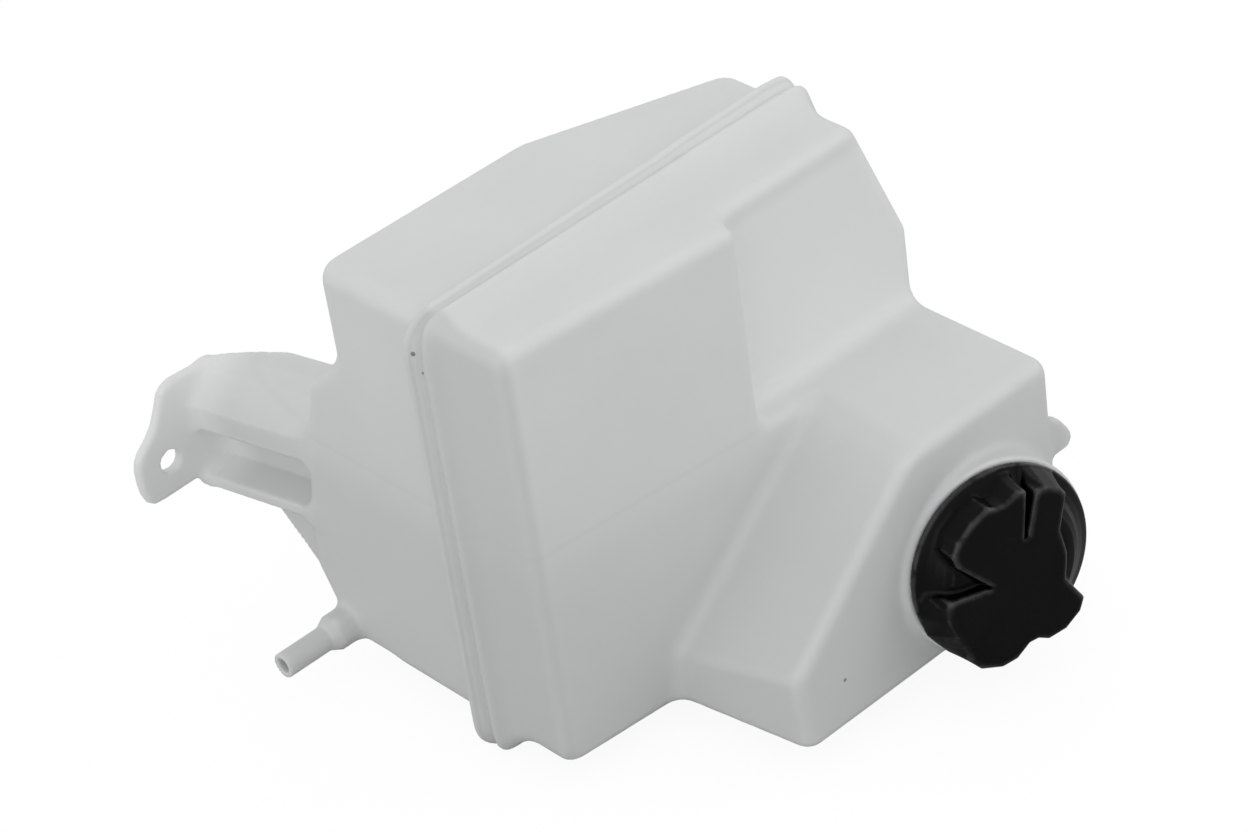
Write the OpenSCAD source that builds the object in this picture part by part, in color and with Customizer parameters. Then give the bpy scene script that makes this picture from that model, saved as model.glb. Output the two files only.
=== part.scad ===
// Coolant expansion tank: two welded plastic halves, a filler neck and a pressure cap.
// Frame: X to the right along the tank, Y away from the cap, Z up, origin at the bracket hole.
// Tank sizes are given from its datum: the upper left corner of the weld seam.

/* [Tank] */
// height of the tank from its bottom to its top
tank_h = 156.5; // [150:0.5:165]
// width of the tank at its top
top_w = 150.4; // [147:0.2:154]
// width of the tank below the flare of its right side
low_w = 169.2; // [166:0.2:172]
// how far below the top the flare of the right side ends
flare_z = 46.6; // [40:0.2:52]
// wall thickness of both halves
wall = 2.8; // [2.4:0.1:3.2]
// outer radius of the moulded edges
edge_r = 4.2; // [3.6:0.1:5]

/* [Weld flange] */
// distance of the weld plane behind the datum
seam_y = 13; // [11:0.5:14]
// thickness of the flange lip on each half
lip_t = 3.5; // [3:0.25:4]
// reach of the flange past the left wall
lip_left = 9.4; // [8:0.2:11]
// reach of the flange below the bottom
lip_low = 9; // [8:0.5:11]
// reach of the flange above the top at the left end
lip_top = 3.8; // [3:0.2:5]
// reach of the flange above the top at the right end
lip_top_right = 8.5; // [6:0.5:9]
// reach of the flange past the right wall
lip_right = 6.5; // [5:0.5:8]

/* [Front half] */
// distance of the front face before the datum at its left edge
face_y = 18.7; // [16:0.1:20]
// how far the front face has come forward at its right edge
face_slant = 7.2; // [6:0.2:8]
// width of the front face above the step
face_w = 89; // [86:0.5:91]
// distance of the recessed wall before the datum
recess_y = 16.4; // [14:0.2:17]
// distance of the shoulder of the neck block below the top
shoulder_z = 75; // [73:0.5:78]
// distance of the front of the neck block before the datum
block_y = 74; // [70:0.5:76]
// width lost by the sloping roof along the shoulder
roof_x = 107; // [104:0.5:110]
// left end of the neck block at its front
block_x = 50.6; // [49:0.2:54]
// height of the lower left corner of the roof above the floor
roof_h = 28.2; // [26:0.2:31]

/* [Rear half] */
// distance of the upper rear wall behind the datum
rear_y = 63.5; // [60:0.5:66]
// distance from the left wall to the kink of the rear wall
kink_x = 83.5; // [80:0.5:88]
// distance of the rear wall behind the datum at its right end
rear_right_y = 39.4; // [37:0.2:42]
// distance of the lower rear wall behind the datum
low_rear_y = 98; // [95:0.5:100]
// height of the step in the rear wall below the top
step_z = 37; // [34:0.5:40]

/* [Bracket arm] */
// distance of the ear's front face behind the datum
ear_y = 155; // [151:0.5:158]
// thickness of the ear
ear_t = 4; // [3.5:0.25:5]
// diameter of the screw hole in the ear
hole_d = 8.4; // [6.4:0.1:9]
// distance of the hole to the left of the left wall
hole_x = 13.3; // [12:0.1:14.5]
// height of the hole below the top of the tank
hole_z = 108.2; // [106:0.2:110]
// fall of the arm for each millimetre of its length
arm_fall = 0.218; // [0.2:0.002:0.235]
// thickness of the arm's web and walls
arm_t = 3; // [2.5:0.1:3.5]

/* [Hose nipple] */
// outer diameter of the nipple
nipple_d = 8.8; // [8:0.1:9.6]
// bore of the nipple
nipple_bore = 5.6; // [5:0.1:6]
// length of the nipple from the left wall
nipple_l = 31; // [28:0.5:34]
// distance of the nipple behind the datum
nipple_y = 86; // [84:0.5:87]
// height of the nipple above the bottom of the tank
nipple_z = 6.2; // [6:0.1:7]

/* [Locating tongue] */
// reach of the tongue past the right wall
tongue_l = 12; // [9:0.5:13]
// thickness of the tongue
tongue_t = 4.5; // [3.5:0.25:6]

/* [Filler neck] */
// outer radius of the neck
neck_r = 22.5; // [22:0.1:23]
// radius of the neck's bore
bore_r = 18.5; // [18.3:0.1:18.9]
// lean of the neck to the left
lean_left = 13.5; // [12:0.5:15]
// lean of the neck upwards
lean_up = 7; // [5:0.5:8]
// radius of the collar behind the cap
collar_r = 34; // [33.5:0.1:35]

/* [Cap] */
// radius of the cap's rim
rim_r = 32.9; // [32:0.1:34]
// radius of the circle over the grip lobes
lobe_r = 29.5; // [28.6:0.1:30]
// height of the cap above its rim
cap_h = 13.8; // [13:0.1:15]
// radial clearance between the cap's skirt and the neck
skirt_gap = 0.7; // [0.4:0.05:0.9]
// radial clearance between the o-ring and the bore
seal_gap = 0.05; // [0.03:0.01:0.08]

/* [Hidden] */
$fn = 64;
low_z = -tank_h;
eps = 0.01;
// place of the bracket hole from the datum
part_origin = [-hole_x, ear_y, -hole_z];
// rim centre of the cap from the datum
rim_c = [low_w - 38.6, -block_y - 12, low_z + 32.6];
// radius of the corners that stand square to the faces
corner_r = edge_r + 1.6;
// how far the faces stand outside the outlines, which follow the rounded edges
proud = 1.5;
// steps of a corner arc, steps of an edge, and the least turn that is rounded
arc_n = 6;
edge_n = 4;
sharp = 31;
// face of the front wall at a distance x from the left wall
function face_at(x) = -face_y - face_slant * x / face_w;
// corners of the grip's outline, as angle and radius on a cap with 29.5 mm lobes
grip_form = [[-41, 28], [-50, 29.5], [-64, 29.5], [-77, 28], [-84, 25.4], [-92, 25.4],
    [-102, 29.6], [-112, 31.8], [-126, 33.6], [-137, 33.4], [-143, 31.4], [-149, 31.4],
    [-156, 32.8], [-170, 32], [-179, 31], [-184, 29], [-180.5, 11], [-209, 25.2],
    [-216, 28.8], [-226, 29.5], [-240, 29.5], [-254, 29.5], [-259, 27.6], [-266, 27.2],
    [-276, 29.2], [-283, 29], [-285, 12.5], [-289, 12.5], [-290, 28.4], [-297, 29.5],
    [-306, 29.5], [-314, 29.2], [-331, 18.4], [-346, 17.4], [-360, 17.4], [-374, 17.2],
    [-390, 17.8]];
// levels along the neck axis, from the cap's rim outwards
neck_top = 4;
neck_low = -12;
level_gap = 0.05;
gasket_t = 1.15;
cover_t = 1.6;
cover_z = neck_top + level_gap + gasket_t;
ceiling_z = cover_z + cover_t + 0.1;
core_r = bore_r - 0.7;
core_in = core_r - 3.6;
floor_z = -20;
floor_t = 2.5;
seat_r = 5.5;
valve_seal_t = 1.2;
disc_t = 2;
disc_r = 9.5;
disc_z = floor_z + floor_t + valve_seal_t;
retainer_t = 2;
retainer_z = -1;
spring_l = retainer_z - disc_z - disc_t;
hub_r = 7.8;
hub_gap = 0.1;
stem_r = 1.3;
guide_r = 5;
guide_z = disc_z + disc_t + 3.3;
collar_z = guide_z + 2.4;
ring_r = 1.45;
ring_z = -10;
small_gap = 0.05;

// moves a piece from the tank's datum to the frame at the bracket hole
module at_frame() {
    translate(-part_origin)
        children();
}

// moves a piece from the neck axis to the tank: its Z points out of the neck
module on_neck() {
    translate(rim_c)
        rotate([0, 0, -lean_left])
            rotate([90 - lean_up, 0, 0])
                children();
}

// everything behind the weld plane
module rear_half() {
    difference() {
        children();
        translate([-100, seam_y - 300, -tank_h - 100])
            cube([400, 300, 400]);
    }
}

function unit(v) = v / norm(v);
function left_of(v) = [-v[1], v[0]];

// outline moved inwards by w, its points going counterclockwise
function inset(p, w) = [
    for (i = [0:len(p) - 1])
        let (
            n0 = left_of(unit(p[i] - p[(i + len(p) - 1) % len(p)])),
            n1 = left_of(unit(p[(i + 1) % len(p)] - p[i])))
            p[i] + (n0 + n1) * w / (1 + n0 * n1)];

// outline with arcs of radius r at its sharp corners
function rounded(p, r) = [
    for (i = [0:len(p) - 1])
        let (
            n0 = left_of(unit(p[i] - p[(i + len(p) - 1) % len(p)])),
            n1 = left_of(unit(p[(i + 1) % len(p)] - p[i])),
            start = atan2(-n0[1], -n0[0]),
            turn = (atan2(-n1[1], -n1[0]) - start + 720) % 360,
            middle = p[i] + (n0 + n1) * r / (1 + n0 * n1))
            each turn < sharp ? [p[i]] : [
                for (k = [0:arc_n])
                    let (a = start + turn * k / arc_n)
                        middle + r * [cos(a), sin(a)]]];

// ring of points of an outline at height h: seen from above, from the right or from the front
function plan_ring(p, h) = [for (q = p) [q[0], q[1], h]];
function side_ring(p, h) = [for (q = p) [h, q[0], q[1]]];
function front_ring(p, h, slant) = [for (q = p) [q[0], h - slant * q[0] / face_w, q[1]]];

// inset and depth of the rings that round an edge, for a wall surface w below the outer one
function edge_steps(w) = [
    for (k = [0:edge_n])
        let (a = 90 * k / edge_n)
            [w - proud + (edge_r - w) * (1 - sin(a)),
                w - proud + (edge_r - w) * (1 - cos(a))]];

// solid through a row of rings with the same number of points
module loft(rings) {
    n = len(rings[0]);
    last = n * (len(rings) - 1);
    polyhedron(
        points = [for (r = rings) each r],
        faces = concat(
            [[for (i = [0:n - 1]) i]],
            [for (k = [0:len(rings) - 2], i = [0:n - 1])
                [n * k + i, n * k + n + i, n * k + n + (i + 1) % n]],
            [for (k = [0:len(rings) - 2], i = [0:n - 1])
                [n * k + i, n * k + n + (i + 1) % n, n * k + (i + 1) % n]],
            [[for (i = [n - 1:-1:0]) last + i]]),
        convexity = 4);
}

// body from the level y1 to a rounded front at y0, seen from the front as outline p
module front_loft(p, y1, y0, slant, w) {
    steps = edge_steps(w);
    loft(concat(
        [front_ring(rounded(inset(p, w - proud), corner_r - w), y1, 0)],
        [for (k = [edge_n:-1:0])
            front_ring(rounded(inset(p, steps[k][0]), corner_r - proud - steps[k][0]),
                y0 + steps[k][1], slant)]));
}

// left part of the front half, with the slanting front face
module face_body(w) {
    y1 = w > 0 ? seam_y + 12 : seam_y;
    front_loft([[0, low_z], [face_w, low_z], [face_w, -0.5], [0, 0]],
        y1, -face_y, face_slant, w);
}

// upper right part of the front half, with the recessed wall
module recess_body(w) {
    y1 = w > 0 ? seam_y + 1 : seam_y;
    front_loft([[face_w - 30, low_z + 0.15], [low_w, low_z + 0.15], [low_w, -flare_z], [top_w, -0.2],
        [face_w - 30, -0.2]], y1, -recess_y, 0, w);
}

// ledge below the recessed wall, in line with the front face
module ledge_body(w) {
    x1 = low_w + 0.1;
    front_loft([[face_w - 28, low_z + 0.3], [x1, low_z + 0.3], [x1, -shoulder_z - 0.15],
        [face_w - 28, -shoulder_z - 0.15]], w > 0 ? 8 : 6, -face_y + 0.3, face_slant, w);
}

// neck block with its sloping roof
module neck_block(w) {
    steps = edge_steps(w);
    x1 = low_w + 0.4;
    back = [[block_x - 7, low_z + 0.6], [x1, low_z + 0.6], [x1, -shoulder_z],
        [roof_x + 9, -shoulder_z], [block_x - 4, low_z + roof_h - 14]];
    front = [[block_x + 2, low_z + 0.3], [x1, low_z + 0.9], [x1, -shoulder_z],
        [roof_x, -shoulder_z], [block_x, low_z + roof_h]];
    y1 = w > 0 ? -6 : -10;
    loft(concat(
        [front_ring(rounded(inset(back, w - proud), corner_r - w), y1, 0)],
        [for (k = [edge_n:-1:0])
            front_ring(rounded(inset(front, steps[k][0]), corner_r - proud - steps[k][0]),
                steps[k][1] - block_y, 0)]));
}

// outline of the weld flange, seen along Y
module lip_outline() {
    r = 16;
    n = 8;
    xr = top_w + lip_right;
    xl = low_w + lip_right;
    polygon(concat(
        [for (k = [0:n]) [-lip_left + r - r * cos(90 * k / n),
            low_z - lip_low + r - r * sin(90 * k / n)]],
        [for (k = [0:n]) [xl - r + r * sin(90 * k / n),
            low_z - lip_low + r - r * cos(90 * k / n)]],
        [[xl, -flare_z], [xr + 1, -6]],
        [for (k = [0:n]) [xr - 8 + 8 * cos(90 * k / n),
            lip_top_right - 8 + 8 * sin(90 * k / n)]],
        [for (k = [0:n]) [-lip_left + 9 - 9 * sin(90 * k / n),
            lip_top - 9 + 9 * cos(90 * k / n)]]));
}

// one lip of the weld flange, from y0 towards the rear
module weld_lip(y0) {
    translate([0, y0 + lip_t, 0])
        rotate([90, 0, 0])
            linear_extrude(height = lip_t)
                difference() {
                    lip_outline();
                    seam_opening();
                }
}

// opening through the flange, with cut corners where the walls are round
module seam_opening() {
    c = 3;
    m = wall - proud - 0.3;
    polygon([[m + c, -m], [top_w - m - c, -m], [top_w - m + c / 3, -m - c],
        [low_w - m, -flare_z], [low_w - m, low_z + m + c], [low_w - m - c, low_z + m],
        [m + c, low_z + m], [m, low_z + m + c], [m, -m - c]]);
}

// tongue that slides into the car's holder
module tongue() {
    x0 = low_w - wall;
    translate([0, -block_y + tongue_t + 1, low_z + 58.5])
        rotate([90, 0, 0])
            linear_extrude(height = tongue_t)
                polygon([[x0, 0], [low_w + 1, 0], [low_w + 0.62 * tongue_l, -4.5],
                    [low_w + 0.93 * tongue_l, -10], [low_w + tongue_l, -13.2],
                    [low_w + 0.9 * tongue_l, -15.8], [low_w + 0.7 * tongue_l, -16.6],
                    [x0, -16.6]]);
}

// level partition inside the tank, with a passage at its right end
module partition(y0, y1, x1) {
    x0 = wall - proud - 1;
    translate([x0, y0, -shoulder_z - 2])
        cube([x1 - x0, y1 - y0, 2]);
}

// outside of the front half
module front_outside() {
    face_body(0);
    recess_body(0);
    ledge_body(0);
    neck_block(0);
    before_block()
        translate([0, 0, -26])
            cylinder(r = collar_r, h = 26 - 1.2);
}

// space inside the front half
module front_inside() {
    face_body(wall);
    recess_body(wall);
    ledge_body(wall);
    neck_block(wall);
    collar_space();
}

module front_shell() {
    color([0.93, 0.94, 0.94])
        at_frame()
            difference() {
                union() {
                    difference() {
                        front_outside();
                        front_inside();
                    }
                    weld_lip(seam_y - lip_t);
                    tongue();
                    partition(wall - proud - face_y - 1, seam_y, 62);
                    on_neck()
                        translate([0, 0, neck_low])
                            cylinder(r = neck_r, h = neck_top - neck_low);
                }
                on_neck()
                    translate([0, 0, -26])
                        cylinder(r = bore_r, h = 40);
            }
}

// piece of the neck axis, cut off inside the front wall of the block
module before_block() {
    difference() {
        on_neck()
            children();
        translate([0, -block_y - proud + 1.3, low_z - 50])
            cube([300, 100, 300]);
    }
}

// space under the collar, open to the neck block
module collar_space() {
    on_neck()
        translate([0, 0, -26])
            cylinder(r = collar_r - 4.5, h = 26 - 1.2 - wall);
}

// outline of the upper rear part from above, where the right wall is at x1
function rear_plan(x1, y1) = [[0, -4], [x1, -4], [x1, y1], [kink_x, rear_y], [0, rear_y]];

// upper part of the rear half
module upper_rear(w) {
    steps = edge_steps(w);
    top = rear_plan(top_w, rear_right_y);
    low = rear_plan(low_w, rear_right_y - 6);
    loft(concat(
        [for (k = [0:edge_n])
            plan_ring(rounded(inset(low, steps[k][0]), corner_r - proud - steps[k][0]),
                low_z + steps[k][1])],
        [plan_ring(rounded(inset(low, w - proud), corner_r - w), -flare_z)],
        [for (k = [edge_n:-1:0])
            plan_ring(rounded(inset(top, steps[k][0]), corner_r - proud - steps[k][0]),
                -steps[k][1])]));
}

// lower part of the rear half, which reaches further back
module lower_rear(w) {
    steps = edge_steps(w);
    x1 = kink_x + 32;
    d = low_rear_y;
    p = [[30, low_z + 0.4], [d - 17, low_z + 0.4], [d - 7, low_z + 10.5],
        [d, low_z + 25], [d - 1.5, low_z + 45], [d - 6.8, low_z + 70],
        [d - 16, -step_z - 15.5], [rear_y + 0.6, -step_z], [30, -step_z]];
    loft(concat(
        [for (k = [0:edge_n])
            side_ring(rounded(inset(p, steps[k][0]), corner_r - proud - steps[k][0]),
                0.3 + steps[k][1])],
        [for (k = [edge_n:-1:0])
            side_ring(rounded(inset(p, steps[k][0]), corner_r - proud - steps[k][0]),
                x1 - steps[k][1])]));
}

// section of the bracket arm, seen along Y at the ear
module arm_section() {
    t = arm_t;
    polygon([[0, -92.3], [3, -86.6], [8, -81.4], [14, -78.6], [23, -77.6],
        [23, -77.6 - t], [14 + t, -79 - t], [13, -88], [13, -124.5], [2, -126],
        [1, -123.5], [10, -120], [10, -104], [0, -102]]);
}

// bracket arm with its ear
module bracket_arm() {
    y0 = rear_y - wall - 1;
    difference() {
        union() {
            multmatrix([[1, 0, 0, 0], [0, 1, 0, 0], [0, -arm_fall, 1, arm_fall * ear_y],
                [0, 0, 0, 1]])
                translate([0, ear_y + ear_t - 0.5, 0])
                    rotate([90, 0, 0])
                        linear_extrude(height = ear_y + ear_t - 0.5 - y0)
                            arm_section();
            translate([0, ear_y + ear_t, 0])
                rotate([90, 0, 0])
                    linear_extrude(height = ear_t)
                        ear_outline();
            gusset();
        }
        arm_end_cut();
        translate([0, 0, -140])
            linear_extrude(height = 100)
                translate([wall - proud - 0.5, 30])
                    square([kink_x, low_rear_y - wall - 31]);
        translate([-hole_x, ear_y - 1, -hole_z])
            rotate([-90, 0, 0])
                cylinder(d = hole_d, h = ear_t + 2);
    }
}

// plan cut that narrows the arm towards the ear
module arm_end_cut() {
    translate([0, 0, -150])
        linear_extrude(height = 100)
            polygon([[24, 122], [19, 140], [13.2, ear_y], [13.2, ear_y + 10], [60, ear_y + 10],
                [60, 122]]);
}

// outline of the ear plate
module ear_outline() {
    polygon([[9, -79.8], [-6, -79.1], [-9.6, -80.2], [-11.9, -82.4], [-14.7, -88.6],
        [-17, -92.8], [-19.8, -96], [-24, -99.6], [-26, -102.4], [-26.9, -106],
        [-26.9, -112], [-26.4, -115.6], [-25.1, -119.2], [-22.6, -121.3], [-18, -121.6],
        [-4.5, -121.2], [2, -124.8], [9, -124.4]]);
}

// web below the arm that carries it into the rear wall
module gusset() {
    translate([2 * arm_t, 0, 0])
        rotate([90, 0, -90])
            linear_extrude(height = arm_t)
                polygon([[-95, -107], [-124, -113], [-123, -120], [-100, -141], [-91, -148],
                    [-89, -146]]);
}

// hose nipple with its stepped boss
module nipple_body() {
    translate([wall, nipple_y, low_z + nipple_z])
        rotate([0, -90, 0]) {
            cylinder(d = 12.8, h = 9 + wall);
            translate([0, 0, 9 + wall - eps])
                cylinder(d1 = 12.8, d2 = nipple_d, h = 4);
            cylinder(d = nipple_d, h = nipple_l + wall - 1.2);
            translate([0, 0, nipple_l + wall - 1.2 - eps])
                cylinder(d1 = nipple_d, d2 = nipple_d - 1.8, h = 1.2);
        }
}

module rear_shell() {
    color([0.93, 0.94, 0.94])
        at_frame()
            rear_half()
                difference() {
                    union() {
                        difference() {
                            union() {
                                upper_rear(0);
                                lower_rear(0);
                                nipple_body();
                            }
                            upper_rear(wall);
                            lower_rear(wall);
                        }
                        weld_lip(seam_y);
                        bracket_arm();
                        partition(seam_y, rear_y + proud - wall + 1, 62);
                    }
                    translate([wall + 4, nipple_y, low_z + nipple_z])
                        rotate([0, -90, 0])
                            cylinder(d = nipple_bore, h = nipple_l + wall + 10);
                }
}

// ring of the grip at height h: its lobes wider by the factor k and cut back by c
function grip_ring(h, k, c) = [
    for (i = [len(grip_form) - 1:-1:0])
        let (
            g = grip_form[i],
            r = g[1] * lobe_r / 29.5,
            q = g[1] > 23 ? r * k - c : r)
            [q * cos(g[0]), q * sin(g[0]), h]];

// grip part of the cap: five lobes, two wide gaps, a wedge and a slot
module grip() {
    loft([grip_ring(2.2, 1.03, 0), grip_ring(cap_h - 2, 1.01, 0), grip_ring(cap_h - 0.7, 1, 0.3),
        grip_ring(cap_h, 1, 1)]);
}

module cap_knob() {
    s_r = neck_r + skirt_gap;
    color([0.06, 0.06, 0.06])
        at_frame()
            on_neck() {
                difference() {
                    union() {
                        rotate_extrude()
                            polygon([[0, 0.6], [rim_r, -0.5], [rim_r, 0.5], [rim_r - 0.5, 1.2],
                                [rim_r - 3.2, 2.6], [rim_r - 5.8, 4.4], [s_r + 1.9, 7],
                                [s_r - 0.4, 8.6], [s_r - 3, 9.2], [0, 9.2]]);
                        grip();
                    }
                    translate([0, 0, -1])
                        cylinder(r = s_r, h = ceiling_z + 1);
                    rotate_extrude()
                        polygon([[s_r + 3, -1], [rim_r - 2.5, -1], [rim_r - 3.5, 0.9],
                            [s_r + 3, 2.2]]);
                }
                translate([0, 0, ceiling_z - 3.6])
                    cylinder(r = hub_r, h = 4);
                translate([0, 0, cover_z - 2.6])
                    cylinder(r1 = hub_r + 0.2, r2 = hub_r + 1.2, h = 2.5);
            }
}

module neck_gasket() {
    color([0.1, 0.1, 0.11])
        at_frame()
            on_neck()
                translate([0, 0, neck_top + level_gap])
                    difference() {
                        cylinder(r = neck_r - 0.3, h = gasket_t);
                        translate([0, 0, -1])
                            cylinder(r = core_r + 0.3, h = gasket_t + 2);
                    }
}

module core_body() {
    color([0.2, 0.2, 0.21])
        at_frame()
            on_neck()
                difference() {
                    translate([0, 0, floor_z])
                        cylinder(r = core_r, h = cover_z - floor_z);
                    translate([0, 0, floor_z + floor_t])
                        cylinder(r = core_in, h = 60);
                    translate([0, 0, floor_z - 1])
                        cylinder(r = seat_r, h = floor_t + 2);
                    translate([0, 0, ring_z])
                        rotate_extrude()
                            translate([bore_r - seal_gap - ring_r, 0])
                                square([2 * ring_r + 2, 2 * ring_r], center = true);
                }
}

module core_o_ring() {
    color([0.1, 0.1, 0.11])
        at_frame()
            on_neck()
                translate([0, 0, ring_z])
                    rotate_extrude()
                        translate([bore_r - seal_gap - ring_r, 0])
                            circle(r = ring_r, $fn = 32);
}

module core_cover() {
    color([0.2, 0.2, 0.21])
        at_frame()
            on_neck()
                difference() {
                    union() {
                        translate([0, 0, cover_z])
                            cylinder(r = neck_r - 0.3, h = cover_t);
                        translate([0, 0, retainer_z + retainer_t])
                            cylinder(r = core_in - small_gap,
                                h = cover_z - retainer_z - retainer_t + eps);
                    }
                    translate([0, 0, retainer_z])
                        cylinder(r = core_in - 2, h = cover_z - retainer_z);
                    translate([0, 0, cover_z - 1])
                        cylinder(r = hub_r + hub_gap, h = cover_t + 2);
                }
}

module spring_retainer() {
    color([0.85, 0.85, 0.83])
        at_frame()
            on_neck()
                translate([0, 0, retainer_z])
                    difference() {
                        cylinder(r = core_in - small_gap, h = retainer_t);
                        translate([0, 0, -1])
                            cylinder(r = 4, h = retainer_t + 2);
                        for (a = [45:90:315])
                            rotate([0, 0, a])
                                translate([core_in - 3.5, 0, -1])
                                    cylinder(d = 3, h = retainer_t + 2, $fn = 24);
                    }
}

// coil of half turns that lean to one side and the other in turn
module coil(mean_r, wire_r, length, turns) {
    rise = (length - 2 * wire_r) / turns / 2;
    lean = asin(rise / 2 / mean_r);
    for (k = [0:2 * turns - 1])
        translate([0, 0, wire_r + rise * (k + 0.5)])
            rotate([0, 0, 180 * k])
                rotate([0, lean, 0])
                    rotate_extrude(angle = 180, $fn = 48)
                        translate([mean_r, 0])
                            circle(r = wire_r, $fn = 16);
}

module pressure_spring() {
    color([0.6, 0.6, 0.62])
        at_frame()
            on_neck()
                translate([0, 0, disc_z + disc_t + 0.02])
                    coil(7.2, 0.7, spring_l - 0.04, 5);
}

module pressure_disc() {
    color([0.75, 0.72, 0.62])
        at_frame()
            on_neck()
                difference() {
                    union() {
                        translate([0, 0, disc_z])
                            cylinder(r = disc_r, h = disc_t);
                        translate([0, 0, disc_z])
                            cylinder(r = guide_r, h = guide_z - disc_z);
                    }
                    translate([0, 0, disc_z - 1])
                        cylinder(r = stem_r + 1.3, h = 20);
                }
}

module pressure_seal() {
    color([0.1, 0.1, 0.11])
        at_frame()
            on_neck()
                translate([0, 0, floor_z + floor_t])
                    difference() {
                        cylinder(r = disc_r - 0.5, h = valve_seal_t);
                        translate([0, 0, -1])
                            cylinder(r = seat_r - 0.9, h = valve_seal_t + 2);
                    }
}

module vacuum_valve() {
    color([0.75, 0.72, 0.62])
        at_frame()
            on_neck() {
                translate([0, 0, disc_z - 1.55])
                    cylinder(r = seat_r - 1.5, h = 1.5);
                translate([0, 0, disc_z - 1])
                    cylinder(r = stem_r, h = collar_z - disc_z + 1.6);
            }
}

module vacuum_collar() {
    color([0.6, 0.6, 0.62])
        at_frame()
            on_neck()
                translate([0, 0, collar_z])
                    difference() {
                        cylinder(r = 3.2, h = 0.6);
                        translate([0, 0, -1])
                            cylinder(r = stem_r, h = 3);
                    }
}

module vacuum_spring() {
    color([0.6, 0.6, 0.62])
        at_frame()
            on_neck()
                translate([0, 0, guide_z + 0.02])
                    coil(2.9, 0.25, collar_z - guide_z - 0.04, 2);
}

front_shell();
rear_shell();
cap_knob();
neck_gasket();
core_body();
core_cover();
core_o_ring();
spring_retainer();
pressure_spring();
pressure_disc();
pressure_seal();
vacuum_valve();
vacuum_collar();
vacuum_spring();
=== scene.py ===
"""Looks of a coolant expansion tank: two welded milky shells, a black lobed cap and the stage.

Lengths in the shape functions are millimetres from the upper left corner of the weld seam:
X to the right, Y away from the cap, Z up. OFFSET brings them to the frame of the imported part.
"""

import math

import bpy
import numpy as np
from mathutils import Matrix, Vector


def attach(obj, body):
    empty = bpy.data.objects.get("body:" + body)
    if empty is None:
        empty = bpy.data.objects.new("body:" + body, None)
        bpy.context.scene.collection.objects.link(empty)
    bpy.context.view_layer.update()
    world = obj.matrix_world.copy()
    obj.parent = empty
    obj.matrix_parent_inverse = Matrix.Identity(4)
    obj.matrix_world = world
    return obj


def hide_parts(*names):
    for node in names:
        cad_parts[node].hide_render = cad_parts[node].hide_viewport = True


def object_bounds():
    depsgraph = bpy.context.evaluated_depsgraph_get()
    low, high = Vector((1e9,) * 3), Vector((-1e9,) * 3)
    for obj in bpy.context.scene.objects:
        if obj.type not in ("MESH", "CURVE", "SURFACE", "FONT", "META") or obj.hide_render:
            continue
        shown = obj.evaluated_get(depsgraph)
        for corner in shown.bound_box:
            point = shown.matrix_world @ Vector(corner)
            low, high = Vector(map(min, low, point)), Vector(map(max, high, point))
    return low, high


bl_info = {
    "name": "Coolant Expansion Tank",
    "version": (1, 0, 0),
    "blender": (4, 5, 0),
    "location": "View3D > Sidebar > Tank",
    "description": "Builds the shells, the cap and the stage of a coolant expansion tank",
    "category": "Object",
}

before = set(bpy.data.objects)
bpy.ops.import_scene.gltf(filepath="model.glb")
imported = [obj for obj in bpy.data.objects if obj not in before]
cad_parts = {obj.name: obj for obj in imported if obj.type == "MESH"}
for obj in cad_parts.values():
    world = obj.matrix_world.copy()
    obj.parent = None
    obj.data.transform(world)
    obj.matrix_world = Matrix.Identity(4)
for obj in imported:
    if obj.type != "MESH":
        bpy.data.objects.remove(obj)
CAD_BOX = [list(corner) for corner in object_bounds()]

OFFSET = np.array([13.3, -155.0, 108.2])
SEAM_Y = 13.0
AROUND = [(-1.5, -158.0), (170.7, -158.0), (170.7, -46.3), (151.9, 1.4), (-1.5, 1.5)]
LIP = 3.5
FACE_Y, FACE_SLANT, FACE_LENGTH = -20.2, 0.0809, 1.00327
BLOCK_Y, BLOCK_DEPTH = -75.5, 64
NECK_AT = np.array([130.6, -86.0, -123.9])
LEAN_LEFT = math.radians(-13.5)
LEAN_UP = math.radians(83.0)
NECK_R, NECK_BORE, COLLAR_R = 22.5, 18.5, 34
TONGUE = [(160, -114.6), (177.6, -114.6), (180, -113.8), (181.2, -111.2), (180.4, -108),
          (176.6, -102.5), (170.2, -98), (160, -98)]
TONGUE_Y, TONGUE_HALF = 70.75, 2.25
REAR_PROFILE = [(-60, -156.1), (81, -156.1), (91, -146), (98, -131.5), (96.5, -111.5),
                (91.2, -86.5), (82, -52.5), (64.1, -37), (-60, -37)]
ARM = [(-1.4, -92.3), (-1.4, -101.5), (10, -104), (10, -118.6), (-1, -121.8), (-1, -126.2),
       (13, -124.5), (13, -88), (17, -82), (23, -80.6), (23, -77.6), (14, -78.6), (8, -81.4),
       (3, -86.6)]
ARM_FALL, ARM_END = 0.218, 155
EAR = [(9, -79.8), (-6, -79.1), (-9.6, -80.2), (-11.9, -82.4), (-14.7, -88.6), (-17, -92.8),
       (-19.8, -96), (-24, -99.6), (-26, -102.4), (-26.9, -106), (-26.9, -112), (-26.4, -115.6),
       (-25.1, -119.2), (-22.6, -121.3), (-18, -121.6), (-4.5, -121.2), (2, -124.8), (9, -124.4)]
EAR_Y, EAR_HALF, EAR_BACK = 157, 2, 158.9
HOLE_X, HOLE_Z, HOLE_R = 13.3, 108.2, 4.2
WEB = [(84, -150), (93, -147), (100, -141), (123, -120), (125, -113), (100, -105), (84, -105)]
NIPPLE_Y, NIPPLE_Z, NIPPLE_R, NIPPLE_BORE = 86, 150.3, 4.4, 2.6
GRIP_TOP, SKIRT_R, HUB_R = 13.4, 23.2, 7.8
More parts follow.
